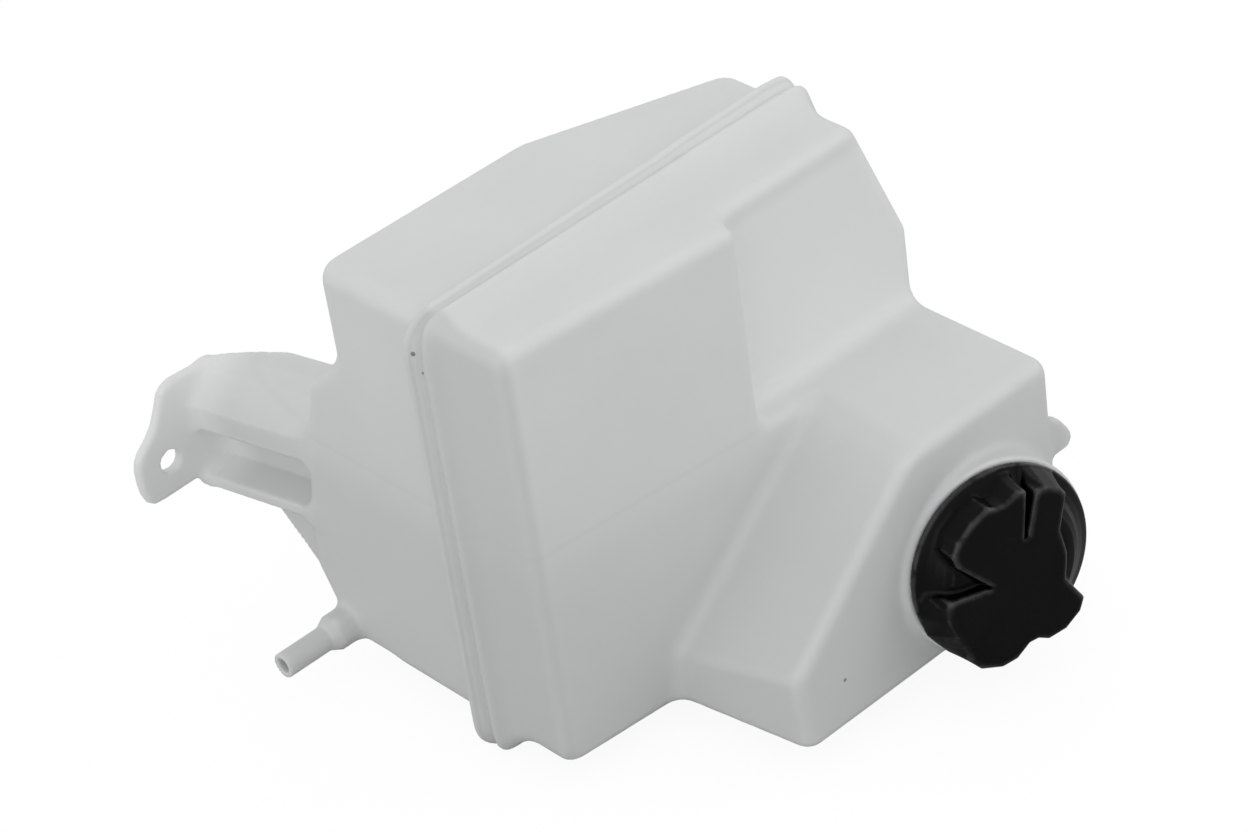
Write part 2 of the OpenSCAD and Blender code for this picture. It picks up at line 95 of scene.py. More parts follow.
SQUARE = 1.17  # blend width of a square corner for each unit of its radius


# Smooth solids as signed fields


def joined(a, b, k):
    """Smooth maximum: max(a, b) + h^2 k / 4 with h = max(k - |a - b|, 0) / k, a rounded edge."""
    h = np.maximum(k - np.abs(a - b), 0.0) / k
    return np.maximum(a, b) + h * h * k / 4


def merged(a, b, k):
    """Smooth minimum of two fields, which fills the corner between them."""
    return -joined(-a, -b, k)


def corner_width(turn, radius):
    """Blend width k = 4 r (1 - cos(turn / 2)) that rounds a corner of this turn with radius r."""
    return max(4 * radius * (1 - math.cos(turn / 2)), 1e-3)


def convex(u, v, points, radius):
    """Field of a convex outline, counterclockwise: the largest blended pair of edge planes."""
    ring = np.array(points, float)
    along = np.roll(ring, -1, 0) - ring
    along /= np.linalg.norm(along, axis=1)[:, None]
    planes = [(u - p[0]) * t[1] - (v - p[1]) * t[0] for p, t in zip(ring, along)]
    result = None
    for i, plane in enumerate(planes):
        s, t = along[i - 1], along[i]
        turn = math.acos(float(np.clip(s @ t, -1, 1)))
        pair = joined(planes[i - 1], plane, corner_width(turn, radius))
        result = pair if result is None else np.maximum(result, pair)
    return result


def inset(points, width):
    """Outline moved inwards by a width along the bisectors of its corners."""
    ring = np.array(points, float)
    along = np.roll(ring, -1, 0) - ring
    along /= np.linalg.norm(along, axis=1)[:, None]
    side = np.stack([-along[:, 1], along[:, 0]], 1)
    before = np.roll(side, 1, 0)
    share = 1 + np.sum(side * before, 1, keepdims=True)
    return ring + (side + before) * width / share


def outline(u, v, points, radius=0.0):
    """Exact distance to any outline, signed by crossings, with outer corners of this radius."""
    ring = inset(points, radius) if radius else np.array(points, float)
    best = np.full(np.shape(u), 1e9)
    inside = np.zeros(np.shape(u), bool)
    for p, q in zip(ring, np.roll(ring, -1, 0)):
        e = q - p
        du, dv = u - p[0], v - p[1]
        t = np.clip((du * e[0] + dv * e[1]) / (e @ e), 0, 1)
        best = np.minimum(best, (du - e[0] * t) ** 2 + (dv - e[1] * t) ** 2)
        if e[1]:
            crosses = (p[1] > v) != (q[1] > v)
            inside ^= crosses & (u < p[0] + e[0] * dv / e[1])
    return np.where(inside, -1.0, 1.0) * np.sqrt(best) - radius


def neck_axes():
    """Rows are the neck's own X, Y and Z, where Z points out of the neck."""
    c, s = math.cos(LEAN_LEFT), math.sin(LEAN_LEFT)
    a, b = math.cos(LEAN_UP), math.sin(LEAN_UP)
    return np.array([[c, s, 0], [-a * s, a * c, b], [b * s, -b * c, a]])


def at_neck(x, y, z):
    """Coordinates of points in the neck's own axes."""
    dx, dy, dz = x - NECK_AT[0], y - NECK_AT[1], z - NECK_AT[2]
    return [m[0] * dx + m[1] * dy + m[2] * dz for m in neck_axes()]


def flange(x, y, z):
    """Weld flange: a plate round the seam, crisp at the back and well rounded at the front."""
    low = convex(x, z, [(-9.4, -165.5), (175.7, -165.5), (175.7, -46.6), (151.5, 8.3),
                        (-9.4, 3.7)], 12.0)
    top = convex(x, z, [(100, -40), (160.2, -40), (157, 8.4), (100, 6.9)], 7.0)
    plate = merged(low, top, 1.5)
    return joined(joined(plate, y - SEAM_Y - LIP, 1.1), SEAM_Y - LIP - y, 6.6)


def front_field(x, y, z, s):
    """Front shell: slanting face, recessed wall, ledge, neck block with its roof, collar and neck."""
    edge = SQUARE * s["edge"]
    slope = (FACE_Y - FACE_SLANT * x - y) / FACE_LENGTH
    t = np.clip((-10 - y) / BLOCK_DEPTH, 0, 1)
    low_x, low_z = 43.6 + 9.0 * t, -155.9 - 0.3 * t
    mid_x, mid_z = 46.6 + 4.0 * t, -142.3 + 14.0 * t
    top_x, top_z = 116.0 - 9.0 * t, -75.0
    ru, rv = top_x - mid_x, top_z - mid_z
    roof = (-(x - mid_x) * rv + (z - mid_z) * ru) / np.hypot(ru, rv) - 1.5
    lu, lv = mid_x - low_x, mid_z - low_z
    left = (-(x - low_x) * lv + (z - low_z) * lu) / np.hypot(lu, lv) - 1.5
    block = joined(joined(roof, left, 2.4), BLOCK_Y - y, edge)
    lower = merged(slope, block, s["hollow"])
    bounds = merged(x - 90.5, z + 73.6, 6.0)
    recess = joined(-17.9 - y, 72 - x, 1.0)
    body = merged(joined(lower, bounds, edge), recess, 7.5)
    body = joined(convex(x, z, AROUND, 5.8), body, edge)
    soft = np.clip((12.6 - y) / 5, 0, 1)
    body = merged(body, flange(x, y, z), 2.0 + 13 * soft * soft * (3 - 2 * soft))
    u, v, h = at_neck(x, y, z)  # h runs out along the neck
    r = np.hypot(u, v)
    collar = joined(joined(r - COLLAR_R, h + 1.2, 1.4), y + 72.5, 1.0)
    body = merged(body, collar, 3.2)
    tongue = joined(convex(x, z, TONGUE, 2.0), np.abs(y + TONGUE_Y) - TONGUE_HALF, 1.0)
    body = merged(body, tongue, 2.4)
    neck = joined(joined(r - NECK_R, h - 4, 0.9), -h - 12, 1.0)
    body = merged(body, neck, 1.0)
    body = joined(body, -joined(r - NECK_BORE, -h - 26, 0.5), 0.7)
    return joined(body, y - SEAM_Y - s["overlap"], 0.05)


def bracket(x, y, z):
    """Arm with its hollow underside, the ear plate with its hole, and the web below the arm."""
    fall = z + ARM_FALL * (y - ARM_END)
    arm = outline(x, fall, ARM, 1.2)
    arm = joined(joined(arm, y - 158.5, 0.8), 60 - y, 1.0)
    arm = joined(arm, -1.4 - x + (97 - y) * 0.45, 2.0)
    narrow = np.maximum((x - 24 + (y - 122) * 0.278) * 0.96, (x - 19 + (y - 140) * 0.387) * 0.93)
    arm = joined(arm, narrow, 1.2)
    ear = joined(outline(x, z, EAR), np.abs(y - EAR_Y) - EAR_HALF, 2.4)
    web = joined(outline(y, z, WEB, 1.0), np.abs(x - 4.5) - 1.5, 0.8)
    both = merged(merged(arm, ear, 5.0), np.maximum(web, fall + 125), 2.0)
    hole = np.hypot(x + HOLE_X, z + HOLE_Z) - HOLE_R
    return joined(joined(both, y - EAR_BACK, 0.5), -hole, 0.7)


def rear_field(x, y, z, s):
    """Rear shell: upper part with a slanting corner, deeper lower part, bracket and nipple."""
    edge = SQUARE * s["edge"]
    slant = (y - 65 + 0.355 * (x - 83.8)) / 1.061
    upper = joined(y - 65, slant, 1.2)
    lower = convex(y, z, REAR_PROFILE, 5.8) - 1.5
    lower = joined(lower, x - 117, edge)
    body = joined(convex(x, z, AROUND, 5.8), merged(upper, lower, 6.0), edge)
    body = merged(body, flange(x, y, z), 2.0)
    near = (x < 30) & (y > 56)
    if near.any():
        xn, yn, zn = x[near], y[near], z[near]
        part = merged(body[near], bracket(xn, yn, zn), 6.0)
        r = np.hypot(yn - NIPPLE_Y, zn + NIPPLE_Z)
        boss = joined(r - 6.4, -9 - xn, 0.8)
        cone = joined((r - NIPPLE_R + (-13 - xn) * 0.5) * 0.9, -13 - xn, 0.5)
        cone = np.maximum(cone, xn + 8.9)
        tube = joined(r - NIPPLE_R, -31 - xn, 0.7)
        nipple = np.minimum(np.minimum(boss, cone), tube)
        nipple = np.maximum(nipple, xn - 8)
        part = merged(part, nipple, 3.0)
        body[near] = joined(part, -np.maximum(r - NIPPLE_BORE, xn - 2), 1.0)
    body = body + 0.15 * np.clip(SEAM_Y + 1.2 - y, 0, 1)  # sinks the lap under the front shell
    return joined(body, SEAM_Y - s["overlap"] - y, 0.05)


# angle in degrees, radius of the front outline, radius at the flange
GRIP = [(-41, 28, 31), (-50, 29.5, 32), (-64, 29.5, 32), (-77, 28, 31), (-84, 25.4, 29),
        (-92, 25.4, 29), (-102, 29.6, 30.5), (-112, 31.8, 32), (-126, 33, 33.6),
        (-137, 31.8, 33.6), (-143, 29.6, 33.4), (-149, 28.6, 33.6), (-156, 28.4, 34.2),
        (-170, 28.2, 33.6), (-179, 27.6, 32), (-184, 27, 30), (-180.5, 11, 11.5),
        (-209, 25.2, 25.6), (-216, 28.8, 29), (-226, 29.5, 29.8), (-240, 29.5, 29.8),
        (-254, 29.5, 29.8), (-259, 27.6, 28), (-266, 27.2, 28.5), (-276, 29.2, 30.5),
        (-283, 29, 31), (-285, 12.5, 13), (-289, 12.5, 13), (-290, 28.4, 32.6),
        (-297, 29.5, 32.8), (-306, 29.5, 32.8), (-314, 29.2, 32.6), (-331, 18.4, 21),
        (-346, 17.4, 20), (-360, 17.4, 20), (-374, 17.2, 20), (-390, 17.8, 21)]
# radius and height of the flange's section
DOME = [(-5, 0.6), (32.9, -0.5), (32.9, 0.5), (32.4, 1.2), (29.7, 2.6), (27.1, 4.4),
        (25.1, 7), (22.8, 8.6), (20.2, 9.2), (-5, 9.2)]


def grip_outline(x, y, column):
    """Field of the grip in the plane of the cap: its front outline, or its outline at the flange."""
    a, r = np.radians([g[0] for g in GRIP[::-1]]), np.array([g[column] for g in GRIP[::-1]])
    return outline(x, y, np.stack([r * np.cos(a), r * np.sin(a)], 1), 0.9)


def cap_field(x, y, z, s):
    """Cap in the neck's own axes: domed flange, tapered grip, hollow skirt and hub."""
    r = np.hypot(x, y)
    dome = outline(r, z, DOME, 0.25)
    front = grip_outline(x, y, 1)
    rise = np.clip((z - 1) / 12.2, 0, 1)
    side = (grip_outline(x, y, 2) * (1 - rise) + front * rise) * 0.97
    grip = joined(joined(side, z - GRIP_TOP, SQUARE * s["grip"]), 1.4 - z, 0.5)
    cap = merged(grip, dome, 1.4)
    cap = np.maximum(cap, -0.6 - z)
    inside = joined(r - SKIRT_R, z - s["ceiling"], 0.6)
    cap = joined(cap, -inside, 0.5)
    hub = joined(r - HUB_R, np.abs(z - 5.3) - 2.0, 0.3)
    snap = np.maximum(r - 8.0 - (z - 2.6) * 0.4, np.abs(z - 3.85) - 1.25)
    return np.minimum(cap, np.minimum(hub, snap))


# Surfaces from fields


def spaced(*spans):
    """Grid lines from (start, stop, step) spans that follow one another."""
    lines = [np.linspace(a, b, max(int(round((b - a) / step)), 1) + 1)[:-1] for a, b, step in spans]
    return np.concatenate(lines + [[spans[-1][1]]])


def gradient(field, p, step=0.05):
    """Central differences of a field at points, and its mean curvature from the same samples."""
    middle = field(p[:, 0], p[:, 1], p[:, 2])
    slope, bend = np.zeros_like(p), -6 * middle
    for axis in range(3):
        d = np.zeros(3)
        d[axis] = step
        ahead, behind = p + d, p - d
        fa = field(ahead[:, 0], ahead[:, 1], ahead[:, 2])
        fb = field(behind[:, 0], behind[:, 1], behind[:, 2])
        slope[:, axis] = (fa - fb) / (2 * step)
        bend += fa + fb
    return middle, slope, bend / (step * step)


def surface(field, axes):
    """Closed surface f(x, y, z) = 0 on a grid: one vertex in each cell that the surface crosses,
    at the mean of its edge crossings p0 + t (p1 - p0) with t = f0 / (f0 - f1), then moved by
    p - f g / |g|^2 onto the surface. One quad stands across each crossed grid edge.
    Returns vertices, quads, normals g / |g| and the curvature of the field."""
    grid = np.meshgrid(*axes, indexing="ij")
    f = field(*grid)
    solid = f < 0
    shape = np.array(f.shape) - 1
    cells = int(np.prod(shape))
    total, count = np.zeros((cells, 3)), np.zeros(cells)
    quads = []
    for axis in range(3):
        lo = [slice(None)] * 3
        hi = [slice(None)] * 3
        lo[axis], hi[axis] = slice(None, -1), slice(1, None)
        lo, hi = tuple(lo), tuple(hi)
        at = np.argwhere(solid[lo] != solid[hi])
        f0, f1 = f[lo][tuple(at.T)], f[hi][tuple(at.T)]
        t = f0 / (f0 - f1)
        p = np.stack([axes[k][at[:, k]] for k in range(3)], 1)
        p[:, axis] += t * (axes[axis][at[:, axis] + 1] - p[:, axis])
        b, c = (axis + 1) % 3, (axis + 2) % 3
        round_it = []
        for db, dc in ((0, 0), (-1, 0), (-1, -1), (0, -1)):
            cell = at.copy()
            cell[:, b] += db
            cell[:, c] += dc
            ok = np.all((cell >= 0) & (cell < shape), axis=1)
            flat = np.ravel_multi_index(tuple(np.where(ok[:, None], cell, 0).T), tuple(shape))
            for k in range(3):
                total[:, k] += np.bincount(flat[ok], p[ok, k], cells)
            count += np.bincount(flat[ok], minlength=cells)
            round_it.append(np.where(ok, flat, -1))
        quad = np.stack(round_it, 1)
        outwards = f0 < 0
        quad[~outwards] = quad[~outwards][:, ::-1]
        quads.append(quad[np.all(quad >= 0, axis=1)])
    used = np.flatnonzero(count)
    number = np.full(cells, -1)
    number[used] = np.arange(len(used))
    verts = total[used] / count[used][:, None]
    for _ in range(3):
        value, slope, _bend = gradient(field, verts)
        square = np.maximum(np.sum(slope * slope, 1), 0.05)
        verts -= np.clip(value / square, -0.8, 0.8)[:, None] * slope
    value, slope, bend = gradient(field, verts, 0.35)
    normal = slope / np.maximum(np.linalg.norm(slope, axis=1), 1e-6)[:, None]
    faces = number[np.concatenate(quads)]
    bend = np.clip(bend, -1.5, 1.5)
    for _ in range(4):
        around = np.bincount(faces.ravel(), np.repeat(bend[faces].mean(1), 4), len(verts))
        bend = around / np.maximum(np.bincount(faces.ravel(), minlength=len(verts)), 1)
    return verts, faces, normal, bend


def mesh_object(name, verts, quads, normal, bend):
    """Mesh object in metres at the origin with smooth normals and the curvature as `edge`."""
    mesh = bpy.data.meshes.new(name)
    mesh.from_pydata(verts.tolist(), [], quads.tolist())
    mesh.update()
    mesh.polygons.foreach_set("use_smooth", np.ones(len(mesh.polygons), bool))
    mesh.normals_split_custom_set_from_vertices(normal.tolist())
    mesh.attributes.new("edge", "FLOAT", "POINT").data.foreach_set("value", bend.astype(np.float32))
    obj = bpy.data.objects.new(name, mesh)
    bpy.context.scene.collection.objects.link(obj)
    return obj


# Materials


class Value:
    """One number or colour socket of a node tree, written with plain arithmetic."""

    def __init__(self, tree, socket):
        self.tree, self.socket = tree, socket

    def _math(self, kind, *others, swap=False):
        terms = [self, *others]
        if swap:
            terms.reverse()
        return self.tree.add("ShaderNodeMath", {"operation": kind}, *terms)

    def __add__(self, other):
        return self._math("ADD", other)

    def __radd__(self, other):
        return self._math("ADD", other)

    def __sub__(self, other):
        return self._math("SUBTRACT", other)

    def __rsub__(self, other):
        return self._math("SUBTRACT", other, swap=True)

    def __mul__(self, other):
        return self._math("MULTIPLY", other)

    def __rmul__(self, other):
        return self._math("MULTIPLY", other)

    def __neg__(self):
        return self._math("MULTIPLY", -1.0)

    def ramp(self, low, high):
        """0 at low and 1 at high, with soft ends."""
        props = {"interpolation_type": "SMOOTHSTEP"}
        return self.tree.add("ShaderNodeMapRange", props, self, low, high, 0.0, 1.0)


class Tree:
    """A node tree whose nodes are added and linked by one method."""

    def __init__(self, owner):
        owner.use_nodes = True
        self.nodes, self.links = owner.node_tree.nodes, owner.node_tree.links

    def add(self, kind, props, *inputs, out=0, at=None, **named):
        """Adds a node, sets its properties, its inputs in order, at numbers and by name."""
        node = self.nodes.new(kind)
        for key, value in props.items():
            setattr(node, key, value)
        pairs = [*enumerate(inputs), *(at or {}).items(), *named.items()]
        for key, value in pairs:
            self.join(node.inputs[key], value)
        return Value(self, node.outputs[out])

    def join(self, socket, value):
        """Links a value to a socket, or sets it when it is constant."""
        if isinstance(value, Value):
            self.links.new(value.socket, socket)
        else:
            socket.default_value = value


class Finish(Tree):
    """A material's node tree with its Principled shader."""

    def __init__(self, name, **constants):
        self.material = bpy.data.materials.new(name)
        super().__init__(self.material)
        self.shader = self.nodes["Principled BSDF"]
        for key, value in constants.items():
            self.shader.inputs[key.replace("_", " ")].default_value = value
        self.place = self.add("ShaderNodeTexCoord", {}, out="Object")

    def set(self, name, value):
        """Feeds one input of the Principled shader."""
        self.join(self.shader.inputs[name], value)

    def noise(self, scale, detail=2.0, rough=0.5):
        """Noise between 0 and 1 on the object's own coordinates, scale in cells per metre."""
        return self.add("ShaderNodeTexNoise", {}, Vector=self.place, Scale=scale, Detail=detail,
                        Roughness=rough)

    def blend(self, factor, a, b):
        """Colour mixed from a to b, whose colour inputs are numbers 6 and 7."""
        return self.add("ShaderNodeMix", {"data_type": "RGBA"}, out=2, at={0: factor, 6: a, 7: b})

    def axis(self, name):
        """One coordinate in metres."""
        return self.add("ShaderNodeSeparateXYZ", {}, self.place, out=name)

    def near(self, point, radius):
        """1 within a radius of a point given in millimetres of the tank, 0 outside."""
        at = tuple((np.array(point) + OFFSET) / 1000)
        far = self.add("ShaderNodeVectorMath", {"operation": "DISTANCE"}, self.place, at, out=1)
        return 1.0 - far.ramp(radius * 0.0006, radius * 0.001)

    def bump(self, height, strength, distance):
        """Bump on the Principled normal."""
        self.set("Normal", self.add("ShaderNodeBump", {}, Strength=strength, Distance=distance,
                                    Height=height))


def grey(level, tint=(1.0, 1.0, 1.0)):
    """Linear colour of a screen grey between 0 and 255, with a slight tint."""
    return tuple((level / 255) ** 2.2 * t for t in tint) + (1.0,)


def beyond(finish, low, high, axis="Z"):
    """0 below low and 1 above high along one axis, both in millimetres of the tank."""
    shift = float(OFFSET["XYZ".index(axis)])
    return finish.axis(axis).ramp((low + shift) / 1000, (high + shift) / 1000)


PARTITION = 0.0338  # height of the level wall inside the tank, in the frame
# point and radius of each dark speck that the photo shows
SPECKS = [((-8.2, 12.3, -6.2), 0.95), ((-6.6, 10.7, -13), 1.0), ((-5.8, 10.2, -56.6), 1.3),
          ((69.1, -75.5, -138.6), 0.8)]


def milky(name, s):
    """Milky blow-moulded plastic: cloudy and speckled, with painted shade low down and in creases,
    and painted highlights on its convex edges.
    """
    m = Finish(name, Subsurface_Weight=0.22, Subsurface_Radius=(1.0, 0.95, 0.9),
               Subsurface_Scale=0.004, Specular_IOR_Level=0.35)
    base = grey(s.plastic_grey, (0.985, 0.998, 0.998))
    dark = grey(s.plastic_grey - 18, (0.985, 0.998, 1.0))
    cloud = m.noise(26.0, 3.0, 0.55)
    patch = m.noise(9.0, 1.0, 0.4)
    # painted shade: the shells darken towards the bottom, where less light reaches them
    painted_low_shade = 1.0 - beyond(m, -160, -10)
    # painted shade below the inner level wall, which keeps the light from above off the lower walls
    below = 1.0 - (m.axis("Z") + (cloud - 0.5) * 0.012).ramp(0.018, 0.036)
    # random cloudy tone of the plastic together with the painted shade below
    tone_and_painted_shade = cloud.ramp(0.3, 0.75) * 0.16 + patch.ramp(0.3, 0.75) * 0.1
    tone_and_painted_shade = tone_and_painted_shade + painted_low_shade * 0.95 + below * 0.22
    colour = m.blend(tone_and_painted_shade, base, dark)
    # painted light: the recessed wall above the ledge is lightened as if lit through the plastic
    painted_recess_light = beyond(m, 88, 96, "X") * beyond(m, -76, -68) * (1.0 - beyond(m, -9, -2))
    colour = m.blend(painted_recess_light * (1.0 - beyond(m, 2, 9, "Y")) * 0.6, colour, grey(s.plastic_grey + 14))
    edge = m.add("ShaderNodeAttribute", {"attribute_name": "edge"}, out="Fac")
    # painted highlight on convex edges and painted shade in concave creases, both from the curvature
    # attribute
    colour = m.blend(edge.ramp(0.06, 0.5) * 0.22, colour, grey(s.plastic_grey + 12))
    colour = m.blend((-edge).ramp(0.08, 0.6) * 0.3, colour, grey(s.plastic_grey - 34))
    rise = m.axis("Z") - PARTITION
    # painted shadow: a thin dark line at the height of the inner level wall
    painted_partition_shadow = rise.ramp(-0.0016, 0.0) - rise.ramp(0.0, 0.0016)
    colour = m.blend(painted_partition_shadow * 0.1, colour, grey(s.plastic_grey - 40))
    # painted shade: the left side faces are darkened
    wall = (1.0 - beyond(m, 0, 4, "X")) * (1.0 - beyond(m, 14, 19, "Y"))
    colour = m.blend(wall * 0.5, colour, grey(s.plastic_grey - 34))
    # painted light: the arm and ear at the far back are lightened
    colour = m.blend(beyond(m, 132, 156, "Y") * 0.62, colour, grey(253))
    dust = m.noise(420.0, 4.0, 0.7).ramp(0.66, 0.8)
    colour = m.blend(dust * s.dirt, colour, grey(s.plastic_grey - 55, (1.0, 0.98, 0.94)))
    for point, radius in SPECKS:
        colour = m.blend(m.near(point, radius) * 0.7, colour, grey(70))
    m.set("Base Color", colour)
    fine = m.noise(900.0, 3.0, 0.6)
    m.set("Roughness", s.plastic_rough + (cloud - 0.5) * 0.12 + (fine - 0.5) * 0.08)
    wave = m.noise(55.0, 2.0, 0.5)
    m.bump(wave * 0.75 + fine * 0.04 + m.noise(240.0, 2.0) * 0.1, 0.35, 0.0012)
    return m.material


def black_plastic(name, level, rough, edges=True):
    """Black moulded plastic with a fine grain, light scuffs and a painted highlight on its edges."""
    m = Finish(name, Specular_IOR_Level=0.15)
    grain = m.noise(1400.0, 3.0, 0.6)
    cloud = m.noise(60.0, 3.0, 0.6)
    colour = m.blend(cloud.ramp(0.3, 0.75), grey(level), grey(level + 9))
    if edges:
        edge = m.add("ShaderNodeAttribute", {"attribute_name": "edge"}, out="Fac")
        # painted highlight: edges lightened by their curvature, broken up by noise; the same mask
        # adds a clear coat there
        painted_edge_highlight = edge.ramp(0.12, 0.9) * m.noise(240.0, 4.0, 0.65).ramp(0.2, 0.6)
        colour = m.blend(painted_edge_highlight * 0.8, colour, grey(level + 66))
        m.set("Coat Weight", painted_edge_highlight * 0.6)
    scuff = m.noise(90.0, 6.0, 0.75).ramp(0.62, 0.8)
    colour = m.blend(scuff * 0.25, colour, grey(level + 24))
    m.set("Base Color", colour)
    m.set("Roughness", rough + (cloud - 0.5) * 0.2 + scuff * 0.12)
    m.bump(grain * 0.3 + cloud * 0.5, 0.3, 0.0005)
    return m.material


def metal(name, colour, rough):
    """Drawn metal with fine scratches along its length and a few dull spots."""
    m = Finish(name)
    cloud = m.noise(500.0, 4.0, 0.6)
    dull = tuple(c * 0.6 for c in colour[:3]) + (1.0,)
    m.set("Base Color", m.blend(cloud.ramp(0.4, 0.75), colour, dull))
    m.set("Metallic", 1.0 - cloud.ramp(0.55, 0.8) * 0.25)
    m.set("Roughness", rough + (cloud - 0.5) * 0.25)
    m.bump(m.noise(2500.0, 2.0), 0.2, 0.0003)
    return m.material


def look_from(place, target):
    """Matrix of a lamp at a place that shines at a target."""
    at = Vector(place)
    turn = (Vector(target) - at).to_track_quat("-Z", "Y").to_matrix().to_4x4()
    return Matrix.Translation(at) @ turn


# Properties


class TankShellSettings(bpy.types.PropertyGroup):
    """Sizes and finish of the two shells."""

    edge: bpy.props.FloatProperty(
        name="Edge radius", description="Radius of the outer edges of both shells",
        default=0.0042, min=0.002, max=0.007, unit="LENGTH", precision=4)
    hollow: bpy.props.FloatProperty(
        name="Hollow radius", description="Radius of the fillets round the neck block",
        default=0.005, min=0.002, max=0.009, unit="LENGTH", precision=4)
    overlap: bpy.props.FloatProperty(
        name="Weld overlap", description="How far each shell is melted into the other at the seam",
        default=0.001, min=0.0001, max=0.0015, unit="LENGTH", precision=4)
    cell: bpy.props.FloatProperty(
        name="Surface step", description="Spacing of the surface points on the large walls",
        default=0.0014, min=0.001, max=0.004, unit="LENGTH", precision=4)
    plastic_grey: bpy.props.FloatProperty(
        name="Plastic grey", description="Screen grey of the clean plastic, 0 black to 255 white",
        default=236.0, min=150.0, max=250.0)
    plastic_rough: bpy.props.FloatProperty(
        name="Roughness", description="Mean roughness of the milky plastic",
        default=0.42, min=0.1, max=0.9, subtype="FACTOR")
    dirt: bpy.props.FloatProperty(
        name="Dirt", description="Amount of fine grime on the shells",
        default=0.1, min=0.0, max=1.0, subtype="FACTOR")


class TankCapSettings(bpy.types.PropertyGroup):
    """Sizes and finish of the cap."""

    grip: bpy.props.FloatProperty(
        name="Grip edge radius", description="Radius of the front edges of the grip",
        default=0.0013, min=0.0005, max=0.003, unit="LENGTH", precision=4)
    cell: bpy.props.FloatProperty(
        name="Surface step", description="Spacing of the surface points on the cap",
        default=0.00055, min=0.0003, max=0.002, unit="LENGTH", precision=5)
    black: bpy.props.FloatProperty(
        name="Black level", description="Screen grey of the cap, 0 black to 255 white",
        default=4.0, min=0.0, max=80.0)
    rough: bpy.props.FloatProperty(
        name="Roughness", description="Mean roughness of the cap",
        default=0.25, min=0.1, max=0.9, subtype="FACTOR")


class TankStageSettings(bpy.types.PropertyGroup):
    """Camera and light."""

    fill: bpy.props.FloatProperty(
        name="Fill light", description="Brightness of the light from all sides",
        default=0.70, min=0.0, max=2.0)
    key: bpy.props.FloatProperty(
        name="Key light", description="Strength of the soft light from above",
        default=0.42, min=0.0, max=5.0)
    side: bpy.props.FloatProperty(
        name="Side light", description="Power of the soft panel on the cap's side",
        default=1.6, min=0.0, max=50.0, unit="POWER")
    lens: bpy.props.FloatProperty(
        name="Lens", description="Focal length in millimetres on a 36 mm wide picture",
        default=116.93, min=20.0, max=300.0)


def shell_sizes(s):
    """Sizes of the shells in millimetres."""
    return {"edge": s.edge * 1000, "hollow": s.hollow * 1170, "overlap": s.overlap * 1000}


def step_of(cell):
    return cell * 1000 * 1.0


class TANK_OT_front_shell(bpy.types.Operator):
    """Builds the front shell with its neck block, collar and half of the weld flange"""

    bl_idname = "tank.front_shell"
    bl_label = "Front Shell"

    def execute(self, context):
        s = context.scene.tank_shell
        sizes, c = shell_sizes(s), step_of(s.cell)
        axes = [spaced((-12, 186, c)),
                spaced((-99, -74, c * 0.8), (-74, 5, c), (5, 11.5, c * 0.6), (11.5, 12.7, 0.4),
                       (12.7, 13.2, 0.1)),
                spaced((-168, 11, c))]
        verts, quads, normal, bend = surface(lambda x, y, z: front_field(x, y, z, sizes), axes)
        obj = mesh_object("front_shell_moulding", (verts + OFFSET) / 1000, quads, normal, bend)
        obj.data.materials.append(milky("milky_front", s))
        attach(obj, "tank")
        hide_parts("front_shell")
        return {"FINISHED"}


class TANK_OT_rear_shell(bpy.types.Operator):
    """Builds the rear shell with its bracket, hose nipple and half of the weld flange"""

    bl_idname = "tank.rear_shell"
    bl_label = "Rear Shell"

    def execute(self, context):
        s = context.scene.tank_shell
        sizes, c = shell_sizes(s), step_of(s.cell)
        axes = [spaced((-33, 28, c * 0.62), (28, 180, c)),
                spaced((12.8, 13.3, 0.1), (13.3, 14.5, 0.4), (14.5, 21, c * 0.6), (21, 79, c),
                       (79, 94, c * 0.6), (94, 152, c), (152, 160.5, c * 0.5)),
                spaced((-168, -158, c), (-158, -142, c * 0.6), (-142, 11, c))]
        verts, quads, normal, bend = surface(lambda x, y, z: rear_field(x, y, z, sizes), axes)
        obj = mesh_object("rear_shell_moulding", (verts + OFFSET) / 1000, quads, normal, bend)
        obj.data.materials.append(milky("milky_rear", s))
        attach(obj, "tank")
        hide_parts("rear_shell")
        return {"FINISHED"}


class TANK_OT_cap(bpy.types.Operator):
    """Builds the lobed cap on the axis of the neck"""

    bl_idname = "tank.cap"
    bl_label = "Cap"

    def execute(self, context):
        s = context.scene.tank_cap
        c = step_of(s.cell)
        sizes = {"grip": s.grip * 1000, "ceiling": 6.9}
        axes = [spaced((-34.5, 34.5, c)), spaced((-34.5, 34.5, c)),
                spaced((-1.2, 11.5, c * 0.9), (11.5, 14.4, c * 0.6))]
        verts, quads, normal, bend = surface(lambda x, y, z: cap_field(x, y, z, sizes), axes)
        turn = neck_axes()
        placed = (verts @ turn + NECK_AT + OFFSET) / 1000
        obj = mesh_object("cap_moulding", placed, quads, normal @ turn, bend)
        obj.data.materials.append(black_plastic("black_cap", s.black, s.rough))
        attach(obj, "cap")
        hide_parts("cap_knob")
        return {"FINISHED"}


